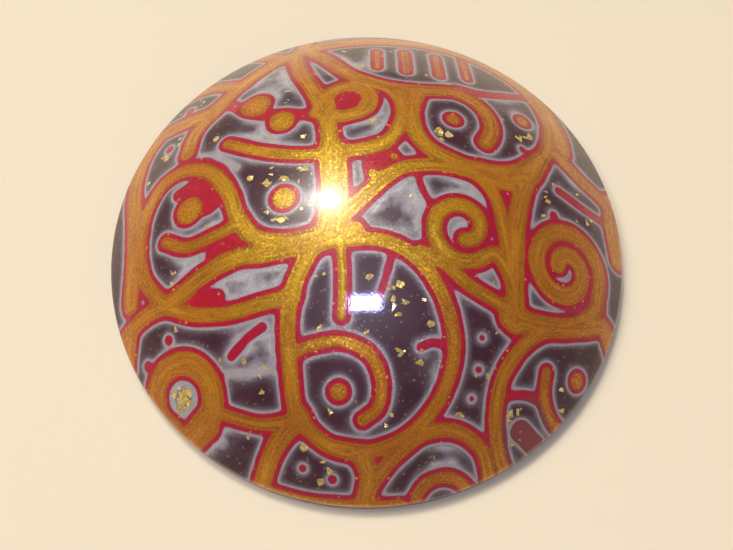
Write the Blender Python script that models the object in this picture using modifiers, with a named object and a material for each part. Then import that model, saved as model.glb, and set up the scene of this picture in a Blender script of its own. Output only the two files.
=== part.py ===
"""Round domed cabochon, inlaid in four colours on a dark backing disc.

The dome is built in layers, as the real one is. A dark ground layer lies over a
core, and the pattern is pressed into it as grooves that follow a few strokes.
Each groove holds three layers, one inside the other: pearl at the bottom, then
red, then gold. The top is cut flush, so every gold band shows a red line and a
pearl line along both of its sides.

Strokes are drawn on a flat sheet that is wrapped over the dome. A sheet point is
(x, y) in millimetres: its distance from the middle is the distance from the crown
measured along the surface. The origin is the middle of the underside, +Z is up.
"""
import bpy
import bmesh
from math import asin, atan2, cos, hypot, radians, sin, sqrt
from mathutils import Vector
from mathutils.geometry import intersect_point_line

MM = 0.001

# Driving dimensions, in millimetres.
DIAMETER = 45.0
TOTAL_HEIGHT = 11.0
BACKING_THICKNESS = 0.8
BACKING_EDGE = 0.12
GROUND_THICKNESS = 2.6
RED_LINING = 0.42
PEARL_LINING = 0.33
LAYER_GAP = 0.06
GROOVE_AXIS_HEIGHT = 0.15

# How finely the shapes are cut into facets.
ROUND_SEGMENTS = 28
DOME_RINGS = 4
CORE_RINGS = 4
STROKE_STEP = 5.0
ARC_STEP = 50
COIL_POINTS = 6
DOT_SEGMENTS = 10
END_REACH = 0.75
END_FACTOR = 0.62
WELD_DISTANCE = 1e-7

RADIUS = DIAMETER / 2
DOME_BASE = BACKING_THICKNESS + LAYER_GAP
DOME_HEIGHT = TOTAL_HEIGHT - DOME_BASE
SPHERE_RADIUS = (RADIUS ** 2 + DOME_HEIGHT ** 2) / (2 * DOME_HEIGHT)
SPHERE_CENTRE = TOTAL_HEIGHT - SPHERE_RADIUS

GOLD = "gold"
RED = "red"
PEARL = "pearl"
GROUND = "ground"
LINING = {GOLD: 0.0, RED: RED_LINING, PEARL: RED_LINING + PEARL_LINING}
LAYER_ORDER = (GOLD, RED, PEARL)

# name: colour, roughness, metallic, coat
FINISHES = {
    GOLD: ((0.58, 0.27, 0.03, 1.0), 0.38, 0.7, 1.0),
    RED: ((0.46, 0.01, 0.03, 1.0), 0.40, 0.0, 1.0),
    PEARL: ((0.46, 0.42, 0.44, 1.0), 0.35, 0.3, 1.0),
    GROUND: ((0.030, 0.014, 0.030, 1.0), 0.40, 0.0, 1.0),
    "core": ((0.10, 0.09, 0.09, 1.0), 0.60, 0.0, 0.0),
    "backing": ((0.012, 0.008, 0.008, 1.0), 0.45, 0.0, 0.0),
}


def arc(x, y, radius, start, end):
    """Sheet points along a circular arc, angles in degrees."""
    count = max(2, round(abs(end - start) / ARC_STEP))
    angles = [radians(start + (end - start) * i / count) for i in range(count + 1)]
    return [(x + radius * cos(a), y + radius * sin(a)) for a in angles]


def spiral(x, y, outer, inner, start, end):
    """Sheet points along a spiral that closes evenly from its outer to its inner radius."""
    count = max(3, round(abs(end - start) / ARC_STEP))
    points = []
    for i in range(count + 1):
        part = i / count
        angle = radians(start + (end - start) * part)
        radius = outer + (inner - outer) * part
        points.append((x + radius * cos(angle), y + radius * sin(angle)))
    return points


def coil(layer, half_width, points):
    """A stroke that winds round itself, as shorter strokes that share one stretch each."""
    pieces = []
    for start in range(0, len(points) - 2, COIL_POINTS - 2):
        pieces.append((layer, half_width, points[start:start + COIL_POINTS]))
    return pieces


# The strokes whose layers run into one another. Each has the layer it is filled up
# to, the half width of that layer at the surface, and its path on the sheet.
NETWORK_STROKES = [
    # The hub near the crown.
    (GOLD, 1.10, [(-3.0, -2.4), (-2.6, 0.8), (-2.8, 5.4)]),
    # Bands that leave the hub upwards, with the crescent, the finger and the curl.
    (GOLD, 0.75, [(-2.9, 3.6), (-3.3, 8.2), (-4.4, 12.0), (-6.2, 16.4), (-7.2, 20.4)]),
    (GOLD, 0.60, [(-2.6, -1.8), (0.2, 1.2), (2.6, 3.4), (5.4, 4.1), (8.6, 3.9)]),
    (GOLD, 0.65, [(-2.8, 5.2), (-0.6, 5.4), (1.8, 6.4), (3.0, 8.8), (3.0, 11.2), (2.2, 12.8)]),
    (GOLD, 0.50, [(-2.8, 5.0), (-6.0, 5.2), (-9.2, 6.1), (-12.3, 7.7)]),
    *coil(GOLD, 0.70, [(-4.2, 9.8), (-2.2, 9.2)] + arc(-1.6, 11.3, 1.95, -85, 160)
          + [(-4.2, 12.0)]),
    # Bands round the upper cells.
    (GOLD, 0.72, [(-6.4, 21.6), (-4.0, 18.6), (-1.6, 15.2), (1.4, 13.4), (4.4, 12.9)]
     + arc(7.4, 9.6, 3.75, 90, -20) + [(10.4, 7.3)]),
    (GOLD, 0.75, [(4.6, 12.8), (3.9, 9.8), (4.4, 7.0), (6.2, 5.2), (9.6, 4.2), (13.2, 4.9),
                  (16.4, 7.8), (17.6, 11.4), (17.4, 14.0), (16.6, 16.6)]),
    (GOLD, 0.75, [(-16.5, 8.0), (-16.0, 10.6), (-13.8, 13.6)]),
    (GOLD, 0.85, [(-15.0, 12.6), (-12.6, 15.4), (-9.8, 18.6), (-6.6, 21.2), (-2.6, 22.6)]),
    (GOLD, 1.10, [(-4.6, 22.2), (-2.6, 22.6), (3.0, 23.2), (9.0, 22.6), (14.0, 20.0),
                  (17.2, 16.4), (18.6, 12.6), (18.6, 9.6)]),
    (RED, 0.55, [(8.4, 14.2), (11.4, 14.2), (15.0, 15.6)]),
    # The left loop and the bands below it.
    (GOLD, 0.70, [(-3.6, -2.6), (-6.8, -2.9), (-9.2, -2.2), (-10.8, -0.2), (-11.8, 2.4), (-13.6, 4.8),
                  (-16.4, 5.9), (-19.0, 5.0), (-20.5, 2.4), (-20.9, -1.0), (-20.2, -4.2), (-18.2, -6.6)]),
    (GOLD, 0.75, [(-3.4, -3.0), (-7.6, -3.7), (-11.0, -3.9), (-14.0, -5.0), (-17.0, -6.6),
                  (-20.4, -7.6), (-23.4, -9.4)]),
    (GOLD, 0.50, [(-10.6, -0.8), (-13.0, -1.6), (-15.6, -2.1), (-17.9, -1.1)]),
    (GOLD, 0.60, [(-18.0, -7.0), (-14.8, -8.2), (-11.4, -8.4), (-8.6, -7.9), (-6.0, -7.4)]),
    # The ring below the hub, with its spike and its inner curl.
    (GOLD, 0.55, [(-2.4, -2.9), (1.8, -3.2), (4.8, -5.2), (6.6, -8.4), (7.2, -12.0), (6.2, -15.6),
                  (3.8, -18.6), (0.4, -20.1), (-2.2, -20.0)]),
    (GOLD, 0.65, [(-3.6, -2.2), (-5.6, -6.0), (-6.4, -9.4), (-6.3, -13.4), (-5.8, -17.0), (-3.6, -19.4),
                  (-1.2, -20.2)]),
    (GOLD, 0.35, [(-2.2, -2.0), (-1.9, -6.2), (-2.0, -9.2)]),
    (GOLD, 0.45, [(-6.0, -12.0), (-4.2, -11.4), (-2.0, -11.2), (0.2, -12.2), (1.2, -14.2),
                  (1.0, -16.4), (-0.3, -17.5)]),
    (RED, 0.35, [(6.4, -11.4), (5.4, -11.2), (4.4, -11.6)]),
    (RED, 0.30, [(2.0, -4.4), (1.5, -6.2), (1.0, -7.8)]),
    # The spiral right of the hub.
    *coil(GOLD, 0.65, [(12.2, -5.4), (10.9, -3.6)] + spiral(7.9, -1.5, 3.1, 1.1, -45, -440)),
    (GOLD, 0.60, [(9.4, 3.8), (10.9, 1.6), (11.5, -1.2), (12.0, -4.4)]),
    (RED, 0.30, [(5.6, -0.2), (4.6, 1.6), (4.2, 3.2)]),
    (GOLD, 0.55, [(4.4, -3.9), (6.4, -4.8), (8.6, -6.5), (12.8, -8.4)]),
    # The right trunk, the large spiral and the bands that reach the right rim.
    (GOLD, 0.85, [(15.6, 6.6), (13.8, 3.4), (12.8, -0.4), (12.5, -4.4), (12.6, -9.2)]),
    (GOLD, 0.90, [(12.0, -8.7), (16.0, -9.1), (19.4, -8.6), (22.2, -8.2), (23.8, -10.4)]),
    *coil(GOLD, 0.80, [(19.4, -8.4), (21.2, -6.6)] + spiral(17.6, -3.7, 4.2, 0.9, -25, 520)),
    (GOLD, 0.70, [(17.6, 8.6), (20.4, 6.4), (23.6, 4.8)]),
    (RED, 0.45, [(17.4, 4.0), (20.0, 3.0), (22.6, 2.4)]),
    (GOLD, 1.00, [(24.4, 5.4), (23.9, 2.6), (24.4, -1.0)]),
    # The lower right cells.
    (GOLD, 0.60, [(15.4, -9.4), (13.2, -11.2), (11.6, -13.8), (11.2, -17.0), (11.8, -20.0),
                  (13.0, -22.4)]),
    (RED, 0.45, [(12.2, -15.2), (14.0, -15.1), (16.0, -15.6)]),
    # The lower rim.
    (GOLD, 0.60, [(0.2, -23.4), (2.4, -20.6), (5.0, -18.6), (7.8, -18.4), (10.2, -20.0), (11.4, -23.0)]),
    (GOLD, 0.80, [(-5.6, -17.2), (-8.0, -19.8), (-9.8, -23.6)]),
    (GOLD, 0.70, [(-8.8, -24.0), (-5.0, -24.9), (-0.6, -25.2), (3.0, -25.2)]),
    (GOLD, 0.80, [(-0.4, -20.4), (0.2, -22.4), (-0.2, -24.8)]),
    (GOLD, 0.50, [(-6.6, -17.6), (-9.4, -17.7), (-13.2, -16.6)]),
    # The coiled disc at the lower left.
    *coil(GOLD, 1.05, arc(-16.5, -15.2, 3.05, -50, 240)),
    (GOLD, 1.30, [(-19.4, -18.0), (-17.0, -19.2), (-14.4, -17.6)]),
    # Bands along the left and the upper rim.
    (GOLD, 0.95, [(-22.0, -6.0), (-21.7, -2.0), (-22.0, 2.0), (-22.7, 6.0), (-22.3, 9.6),
                  (-20.6, 12.4), (-17.6, 12.8), (-14.6, 12.8)]),
    (GOLD, 0.75, [(-18.6, 18.0), (-15.6, 17.8), (-12.4, 16.2)]),
    (GOLD, 0.75, [(-11.6, 22.8), (-8.6, 20.6)]),
    (GOLD, 0.80, [(-6.4, 22.0), (-6.4, 24.8)]),
    # Patches where the grooves are wide but shallow, so that red or pearl shows.
    (RED, 1.30, [(-14.2, 3.2), (-13.8, 1.8)]),
    (RED, 1.20, [(0.4, 3.6), (1.4, 5.0)]),
    (RED, 0.70, [(-12.6, 13.0), (-9.6, 10.6), (-7.4, 10.2), (-5.0, 9.6)]),
]

# The imprints that stand apart: name, the layer it is filled up to, the half width of
# that layer, its path (one point for a dot), and the layer from which on it runs into
# the network, or None where all its layers stand apart.
IMPRINTS = [
    ("hub_dot", GOLD, 0.95, [(-6.8, 1.0)], None),
    ("loop_dot", GOLD, 1.25, [(-15.6, 1.4)], RED),
    ("twin_dot_upper", GOLD, 1.35, [(-10.0, 12.0)], RED),
    ("twin_dot_lower", GOLD, 1.10, [(-7.4, 9.2)], RED),
    ("drop_cell_dot", GOLD, 0.60, [(7.6, 9.5)], None),
    ("drop_cell_side_dot", GOLD, 0.60, [(14.6, 11.5)], None),
    ("ring_cell_dot", GOLD, 0.70, [(-2.3, -15.2)], None),
    ("lower_right_dot", GOLD, 0.70, [(19.4, -13.4)], None),
    ("rim_hook", GOLD, 0.45, [(15.9, -13.0), (15.9, -15.0), (17.0, -17.2), (19.4, -18.8)], RED),
    ("rim_arch", GOLD, 0.50, arc(7.0, -25.0, 2.6, 165, 15), RED),
    ("rim_patch", RED, 1.00, [(13.8, -18.2), (15.4, -19.4)], PEARL),
    ("lower_left_bar", RED, 0.40, [(-11.4, -12.0), (-10.0, -10.7), (-8.6, -9.8)], PEARL),
    ("top_cell_stroke_1", GOLD, 0.20, [(1.0, 20.0), (1.0, 16.4)], None),
    ("top_cell_stroke_2", GOLD, 0.30, [(3.7, 20.2), (3.7, 16.0)], None),
    ("top_cell_stroke_3", GOLD, 0.25, [(6.8, 20.0), (6.8, 15.8)], None),
    ("hub_patch_speck_1", GOLD, 0.30, [(0.5, 2.9)], RED),
    ("hub_patch_speck_2", GOLD, 0.25, [(2.3, 4.7)], RED),
    ("drop_cell_speck", RED, 0.35, [(14.0, 7.6)], PEARL),
    ("left_cell_speck", RED, 0.45, [(-18.9, 9.6)], None),
    ("oval_cell_speck", RED, 0.50, [(-17.6, 14.8)], PEARL),
    ("lower_left_speck_1", RED, 0.45, [(-17.6, -10.0)], PEARL),
    ("lower_left_speck_2", RED, 0.50, [(-20.2, -12.0)], PEARL),
    ("star_cell_speck_1", RED, 0.25, [(9.6, -10.6)], None),
    ("star_cell_speck_2", RED, 0.30, [(9.4, -13.2)], None),
    ("star_cell_speck_3", RED, 0.25, [(8.9, -15.6)], None),
    ("bottom_cell_speck_1", RED, 0.35, [(-5.6, -21.6)], None),
    ("bottom_cell_speck_2", RED, 0.40, [(-3.0, -22.6)], None),
    ("left_rim_speck", RED, 0.40, [(-22.3, -6.6)], PEARL),
    ("right_cell_speck", RED, 0.45, [(16.6, 1.2)], PEARL),
]


def on_dome(point, lift=0.0):
    """The place of a sheet point on the dome, lifted along the surface normal, in metres."""
    x, y = point
    distance = hypot(x, y)
    slope = distance / SPHERE_RADIUS
    direction = atan2(y, x)
    radius = SPHERE_RADIUS + lift
    across = radius * sin(slope)
    height = SPHERE_CENTRE + radius * cos(slope)
    return Vector((across * cos(direction), across * sin(direction), height)) * MM


def smooth_path(points):
    """A Catmull-Rom curve through the points, cut into steps of about STROKE_STEP."""
    first, last = Vector(points[0]), Vector(points[-1])
    middle = [Vector(p) for p in points]
    knots = [2 * first - middle[1]] + middle + [2 * last - middle[-2]]
    path = []
    for a, b, c, d in zip(knots, knots[1:], knots[2:], knots[3:]):
        steps = max(1, round((c - b).length / STROKE_STEP))
        for i in range(steps):
            t = i / steps
            path.append(0.5 * (2 * b + (c - a) * t + (2 * a - 5 * b + 4 * c - d) * t ** 2
                               + (3 * b - a - 3 * c + d) * t ** 3))
    path.append(last)
    return path


def runs_into_a_band(end, own_points):
    """Whether a stroke's end lies inside another stroke of the network, where it can stay square."""
    for _, half_width, points in NETWORK_STROKES:
        if points is own_points or len(points) < 2:
            continue
        for a, b in zip(points, points[1:]):
            nearest, part = intersect_point_line(end, Vector(a), Vector(b))
            part = min(max(part, 0.0), 1.0)
            nearest = Vector(a).lerp(Vector(b), part)
            if (end - nearest).length < half_width:
                return True
    return False


def mitre_factors(path):
    """By how much each section widens, so that the groove's walls run straight through its bends."""
    factors = [1.0]
    for before, point, after in zip(path, path[1:], path[2:]):
        bend = (point - before).angle(after - point)
        factors.append(1.0 / cos(bend / 2))
    return factors + [1.0]


def blunt_ends(points, radius):
    """The smooth path of a stroke with a narrower point beyond each free end, and its factors."""
    path = smooth_path(points)
    factors = mitre_factors(path)
    reach = END_REACH * radius
    first, second = path[0], path[1]
    last, before = path[-1], path[-2]
    if not runs_into_a_band(first, points):
        path.insert(0, first + (first - second).normalized() * reach)
        factors.insert(0, END_FACTOR)
    if not runs_into_a_band(last, points):
        path.append(last + (last - before).normalized() * reach)
        factors.append(END_FACTOR)
    return path, factors


def surface_tilts(places):
    """How far a V-shaped groove turns from upright, at each place, to stand square to the dome."""
    centre = Vector((0.0, 0.0, SPHERE_CENTRE)) * MM
    steps = [(b - a).normalized() for a, b in zip(places, places[1:])]
    tilts = []
    for place, before, after in zip(places, steps[:1] + steps, steps + steps[-1:]):
        along = (before + after).normalized()
        upright = Vector((0.0, 0.0, 1.0))
        upright = (upright - along * upright.dot(along)).normalized()
        normal = (place - centre).normalized()
        tilts.append(atan2(upright.cross(normal).dot(along), upright.dot(normal)))
    return tilts


def material(name):
    """The Principled material of a layer."""
    found = bpy.data.materials.get(name)
    if found:
        return found
    colour, roughness, metallic, coat = FINISHES[name]
    made = bpy.data.materials.new(name)
    made.use_nodes = True
    shader = made.node_tree.nodes["Principled BSDF"]
    shader.inputs["Base Color"].default_value = colour
    shader.inputs["Roughness"].default_value = roughness
    shader.inputs["Metallic"].default_value = metallic
    shader.inputs["Coat Weight"].default_value = coat
    made.diffuse_color = colour
    return made


def add_object(name, mesh):
    """An object of the mesh, linked to the scene's collection while it is worked on."""
    obj = bpy.data.objects.new(name, mesh)
    bpy.context.scene.collection.objects.link(obj)
    return obj


def remove(objects):
    """Removes objects that have done their work, with their meshes."""
    for obj in objects:
        mesh = obj.data
        bpy.data.objects.remove(obj, do_unlink=True)
        bpy.data.meshes.remove(mesh)


def evaluated_mesh(obj):
    """A mesh of the object as its modifiers leave it."""
    graph = bpy.context.evaluated_depsgraph_get()
    graph.update()
    return bpy.data.meshes.new_from_object(obj.evaluated_get(graph))


def weld(mesh):
    """Joins points that lie in one place, and turns the faces outwards."""
    cage = bmesh.new()
    cage.from_mesh(mesh)
    bmesh.ops.remove_doubles(cage, verts=cage.verts, dist=WELD_DISTANCE)
    bmesh.ops.recalc_face_normals(cage, faces=cage.faces)
    cage.to_mesh(mesh)
    cage.free()


def groove_along(points, radius):
    """A closed bar of diamond section along a stroke, whose lower half is a V-shaped groove."""
    path, factors = blunt_ends(points, radius)
    places = [on_dome(point, GROOVE_AXIS_HEIGHT) for point in path]
    curve = bpy.data.curves.new("stroke", "CURVE")
    curve.dimensions = "3D"
    curve.twist_mode = "Z_UP"
    curve.bevel_depth = radius * MM
    curve.bevel_resolution = 0
    curve.use_fill_caps = True
    spline = curve.splines.new("POLY")
    spline.points.add(len(path) - 1)
    for knot, place, factor, tilt in zip(spline.points, places, factors, surface_tilts(places)):
        knot.co = (*place, 1.0)
        knot.radius = factor
        knot.tilt = tilt
    guide = bpy.data.objects.new("stroke", curve)
    bpy.context.scene.collection.objects.link(guide)
    mesh = evaluated_mesh(guide)
    bpy.data.objects.remove(guide, do_unlink=True)
    bpy.data.curves.remove(curve)
    weld(mesh)
    return add_object("stroke", mesh)


def groove_at(point, radius):
    """A cone that points into the dome at the place of a dot."""
    centre = on_dome(point, GROOVE_AXIS_HEIGHT)
    normal = centre - Vector((0.0, 0.0, SPHERE_CENTRE)) * MM
    cage = bmesh.new()
    bmesh.ops.create_cone(cage, cap_ends=True, segments=DOT_SEGMENTS, radius1=0.0,
                          radius2=radius * MM, depth=radius * MM)
    bmesh.ops.translate(cage, verts=cage.verts, vec=(0.0, 0.0, -radius * MM / 2))
    turn = Vector((0.0, 0.0, 1.0)).rotation_difference(normal)
    bmesh.ops.rotate(cage, verts=cage.verts, matrix=turn.to_matrix())
    bmesh.ops.translate(cage, verts=cage.verts, vec=centre)
    mesh = bpy.data.meshes.new("dot")
    cage.to_mesh(mesh)
    cage.free()
    return add_object("dot", mesh)


def groove(stroke, layer, gap=0.0):
    """The solid that holds a stroke's layer and all that lies in it, or None if it has none."""
    filled_to, half_width, points = stroke
    lining = LINING[layer] - LINING[filled_to]
    if lining < 0.0:
        return None
    radius = half_width + lining + GROOVE_AXIS_HEIGHT + gap
    if len(points) == 1:
        return groove_at(points[0], radius)
    return groove_along(points, radius)


def grooves(strokes, layer, gap=0.0):
    """The layer's solids for a list of strokes."""
    made = [groove(stroke, layer, gap) for stroke in strokes]
    return [obj for obj in made if obj is not None]


def combine(target, operation, others):
    """Joins, cuts or keeps the target's mesh against other closed meshes, which are used up.

    The exact solver leaves flaps where many grooves meet at low angles, so each step uses
    the manifold one.
    """
    for other in others:
        step = target.modifiers.new(operation.title(), "BOOLEAN")
        step.operation = operation
        step.solver = "MANIFOLD"
        step.object = other
    old = target.data
    target.data = evaluated_mesh(target)
    target.modifiers.clear()
    bpy.data.meshes.remove(old)
    remove(others)


def union(objects):
    """One closed mesh object out of several that overlap."""
    first = objects[0]
    combine(first, "UNION", objects[1:])
    return first


def body_of(start):
    """All corner points that are linked to a starting one by edges."""
    found = {start}
    waiting = [start]
    while waiting:
        for edge in waiting.pop().link_edges:
            for vert in edge.verts:
                if vert not in found:
                    found.add(vert)
                    waiting.append(vert)
    return found


def drop_crumbs(mesh):
    """Keeps a piece's main body and removes the crumbs that the cuts leave beside it."""
    cage = bmesh.new()
    cage.from_mesh(mesh)
    left = set(cage.verts)
    bodies = []
    while left:
        body = body_of(next(iter(left)))
        bodies.append(body)
        left -= body
    bodies.sort(key=len)
    crumbs = [vert for body in bodies[:-1] for vert in body]
    bmesh.ops.delete(cage, geom=crumbs, context="VERTS")
    cage.to_mesh(mesh)
    cage.free()


def dome_solid(name, lift, rings, skirt=0.0):
    """A spherical cap, turned from its profile; lift moves its surface outwards.

    Its flat base is the dome's, or lies lower by the height of a straight skirt.
    """
    radius = SPHERE_RADIUS + lift
    edge = sqrt(radius ** 2 - (DOME_BASE - SPHERE_CENTRE) ** 2)
    opening = asin(edge / radius)
    profile = [(0.0, DOME_BASE - skirt)]
    if skirt > 0.0:
        profile.append((edge, DOME_BASE - skirt))
    for i in range(rings + 1):
        angle = opening * (rings - i) / rings
        profile.append((radius * sin(angle), SPHERE_CENTRE + radius * cos(angle)))
    cage = bmesh.new()
    verts = [cage.verts.new((x * MM, 0.0, z * MM)) for x, z in reversed(profile)]
    for a, b in zip(verts, verts[1:]):
        cage.edges.new((a, b))
    mesh = bpy.data.meshes.new(name)
    cage.to_mesh(mesh)
    cage.free()
    obj = add_object(name, mesh)
    turn = obj.modifiers.new("Turn", "SCREW")
    turn.steps = ROUND_SEGMENTS
    turn.render_steps = ROUND_SEGMENTS
    turn.use_merge_vertices = True
    turn.merge_threshold = 1e-6
    obj.data = evaluated_mesh(obj)
    obj.modifiers.clear()
    bpy.data.meshes.remove(mesh)
    weld(obj.data)
    return obj


def finish(obj, name, finish_name, collection):
    """Names a piece, gives it its material and moves it to the model's collection."""
    drop_crumbs(obj.data)
    obj.name = name
    obj.data.name = name
    obj.data.materials.clear()
    obj.data.materials.append(material(finish_name))
    obj.data.shade_smooth()
    obj.data.set_sharp_from_angle(angle=radians(30))
    for home in list(obj.users_collection):
        home.objects.unlink(obj)
    collection.objects.link(obj)
    return obj


def whole_dome():
    """The dome from the backing disc up, which every layer is kept inside."""
    return dome_solid("dome", 0.0, DOME_RINGS)


def add_layer(name, layer, strokes, inner_strokes, collection):
    """One layer of some strokes: its grooves inside the dome, less the layers that fill them."""
    piece = union(grooves(strokes, layer))
    combine(piece, "INTERSECT", [whole_dome()])
    depth = LAYER_ORDER.index(layer)
    if depth > 0:
        combine(piece, "DIFFERENCE", grooves(inner_strokes, LAYER_ORDER[depth - 1], LAYER_GAP))
    return finish(piece, name, layer, collection)


def joined(layer):
    """The imprints whose given layer runs into the network."""
    depth = LAYER_ORDER.index(layer)
    return [(kind, width, path) for _, kind, width, path, joins in IMPRINTS
            if joins is not None and depth >= LAYER_ORDER.index(joins)]


def add_networks(collection):
    """The gold bands and the linings below them, each in one piece."""
    for layer in LAYER_ORDER:
        strokes = NETWORK_STROKES + joined(layer)
        suffix = "band_network" if layer == GOLD else "lining_network"
        add_layer(f"{layer}_{suffix}", layer, strokes, strokes, collection)


def add_imprints(collection):
    """The dots and short strokes that stand apart, layer by layer."""
    for name, kind, width, path, joins in IMPRINTS:
        stroke = (kind, width, path)
        first = LAYER_ORDER.index(kind)
        last = len(LAYER_ORDER) if joins is None else LAYER_ORDER.index(joins)
        for layer in LAYER_ORDER[first:last]:
            add_layer(f"{name}_{layer}", layer, [stroke], [stroke], collection)


def add_ground(collection):
    """The dark layer over the core, with every groove cut into it."""
    ground = whole_dome()
    hollow = dome_solid("hollow", -GROUND_THICKNESS, CORE_RINGS, skirt=BACKING_THICKNESS)
    combine(ground, "DIFFERENCE", [hollow])
    strokes = NETWORK_STROKES + [(kind, width, path) for _, kind, width, path, _ in IMPRINTS]
    combine(ground, "DIFFERENCE", grooves(strokes, PEARL, LAYER_GAP))
    finish(ground, "dark_ground_layer", GROUND, collection)


def add_core(collection):
    """The plain dome that the ground layer is draped over."""
    core = dome_solid("core", -GROUND_THICKNESS - LAYER_GAP, CORE_RINGS)
    finish(core, "dome_core", "core", collection)


def add_backing(collection):
    """The disc under the dome, with its two edges slightly rounded."""
    bpy.ops.mesh.primitive_cylinder_add(
        vertices=ROUND_SEGMENTS, radius=RADIUS * MM, depth=BACKING_THICKNESS * MM,
        location=(0.0, 0.0, BACKING_THICKNESS * MM / 2))
    disc = bpy.context.object
    edge = disc.modifiers.new("Edge", "BEVEL")
    edge.width = BACKING_EDGE * MM
    edge.segments = 2
    edge.limit_method = "ANGLE"
    edge.angle_limit = radians(60)
    finish(disc, "backing_disc", "backing", collection)


def main():
    for obj in list(bpy.data.objects):
        bpy.data.objects.remove(obj, do_unlink=True)
    collection = bpy.data.collections.new("inlaid_dome_cabochon")
    bpy.context.scene.collection.children.link(collection)
    add_backing(collection)
    add_core(collection)
    add_ground(collection)
    add_networks(collection)
    add_imprints(collection)


main()
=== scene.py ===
"""Looks of the inlaid dome: a fine surface for every layer, metal leaf, light and camera.

The pattern comes from one field over the flat sheet that wraps the dome. The field grows
with the distance from the strokes: below GOLD_EDGE lies gold, then the red line, then the
pearl line, and the dark ground beyond. A fine net of triangles is cut along these three
edges, and each layer becomes a closed solid that fills the groove of the layer below it.
Sheet lengths are in millimetres; everything else is in metres, as in the frame.
"""
from math import asin, cos, pi, radians, sin, sqrt

import bpy
import numpy as np
from mathutils import Matrix, Vector


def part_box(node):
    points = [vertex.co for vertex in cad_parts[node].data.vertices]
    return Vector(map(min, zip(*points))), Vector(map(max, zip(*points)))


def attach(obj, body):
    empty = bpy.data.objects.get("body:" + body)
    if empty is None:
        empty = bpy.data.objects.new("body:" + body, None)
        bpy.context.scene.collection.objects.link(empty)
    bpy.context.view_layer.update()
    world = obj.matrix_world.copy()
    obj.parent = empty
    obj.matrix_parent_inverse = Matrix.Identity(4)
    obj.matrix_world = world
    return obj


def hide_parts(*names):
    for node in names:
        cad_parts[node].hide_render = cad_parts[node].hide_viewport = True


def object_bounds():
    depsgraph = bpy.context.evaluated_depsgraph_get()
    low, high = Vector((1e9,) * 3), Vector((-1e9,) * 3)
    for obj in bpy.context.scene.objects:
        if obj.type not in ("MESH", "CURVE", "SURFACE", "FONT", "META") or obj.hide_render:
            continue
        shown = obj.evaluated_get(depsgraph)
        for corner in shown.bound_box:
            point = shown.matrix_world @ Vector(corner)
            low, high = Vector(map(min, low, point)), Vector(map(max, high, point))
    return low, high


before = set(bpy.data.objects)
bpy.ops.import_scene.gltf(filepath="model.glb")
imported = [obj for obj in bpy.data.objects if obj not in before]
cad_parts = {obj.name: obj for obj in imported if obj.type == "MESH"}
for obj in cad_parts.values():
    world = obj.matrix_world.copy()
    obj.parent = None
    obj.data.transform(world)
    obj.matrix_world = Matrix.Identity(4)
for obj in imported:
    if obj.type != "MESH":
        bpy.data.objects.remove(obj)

CAD_LOW, CAD_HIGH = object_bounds()
MM = 0.001

# Sizes that the frame gives, in millimetres.
RADIUS = (CAD_HIGH.x - CAD_LOW.x) / 2 / MM
TOTAL_HEIGHT = CAD_HIGH.z / MM
BACKING_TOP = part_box("backing_disc")[1].z / MM
DOME_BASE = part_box("dark_ground_layer")[0].z / MM
CORE_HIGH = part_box("dome_core")[1]
CORE_CLEARANCE = 0.06
HOLLOW_RADIUS = CORE_HIGH.x / MM + CORE_CLEARANCE
HOLLOW_TOP = CORE_HIGH.z / MM + CORE_CLEARANCE

# The dome's section: a sphere that ends in a small round edge above the base.
EDGE_RADIUS = 0.55
EDGE_RISE = 0.34
SHEET_RADIUS = 25.45
NET_RINGS = 117
HOLLOW_RINGS = 14
WEAR = 0.012
WORN_FROM_RIM = 3.0

# The field's value at each layer's outer edge, and how strokes make the field.
GOLD, RED, PEARL = "gold", "red", "pearl"
GOLD_EDGE = 1.0
RED_EDGE = 1.42
PEARL_EDGE = 1.75
LAYER_EDGES = {GOLD: GOLD_EDGE, RED: RED_EDGE, PEARL: PEARL_EDGE}
LOWEST_FIELD = {GOLD: -1.0, RED: GOLD_EDGE + 0.12, PEARL: RED_EDGE + 0.12}
FIELD_BLEND = 0.16
FIELD_FAR = 6.0
STROKE_REACH = 4.0
STROKE_STEP = 0.3
ARC_STEP = 20
IMPRINT_REACH = 0.6

# The net's columns: place on the sheet, field, and height of the field above each edge.
# The edges wander a little, as pressed clay does.
FIELD_COLUMN, GOLD_COLUMN, RED_COLUMN, PEARL_COLUMN = 2, 3, 4, 5
SNAP_REACH = 0.012
ON_EDGE = 1e-9
WANDER = 0.035
PEARL_WANDER = 0.050

# Depths of the grooves and gaps between the layers.
GROOVE_SLOPE = 0.55
LAYER_CLEARANCE = 0.02
FLOOR_DROP = 0.01
POKED_LEVEL = -0.06
RIM_DEPTH = 0.25
BACKING_INSET = 0.25
BACKING_SEGMENTS = 288


def spiral(x, y, outer, inner, start, end):
    """Sheet points along a spiral that closes evenly; radii, then angles in degrees."""
    count = round(abs(end - start) / ARC_STEP)
    points = []
    for i in range(count + 1):
        angle = radians(start + (end - start) * i / count)
        radius = outer + (inner - outer) * i / count
        points.append((x + radius * cos(angle), y + radius * sin(angle)))
    return points


def arc(x, y, radius, start, end):
    """Sheet points along a circular arc."""
    return spiral(x, y, radius, radius, start, end)


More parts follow.
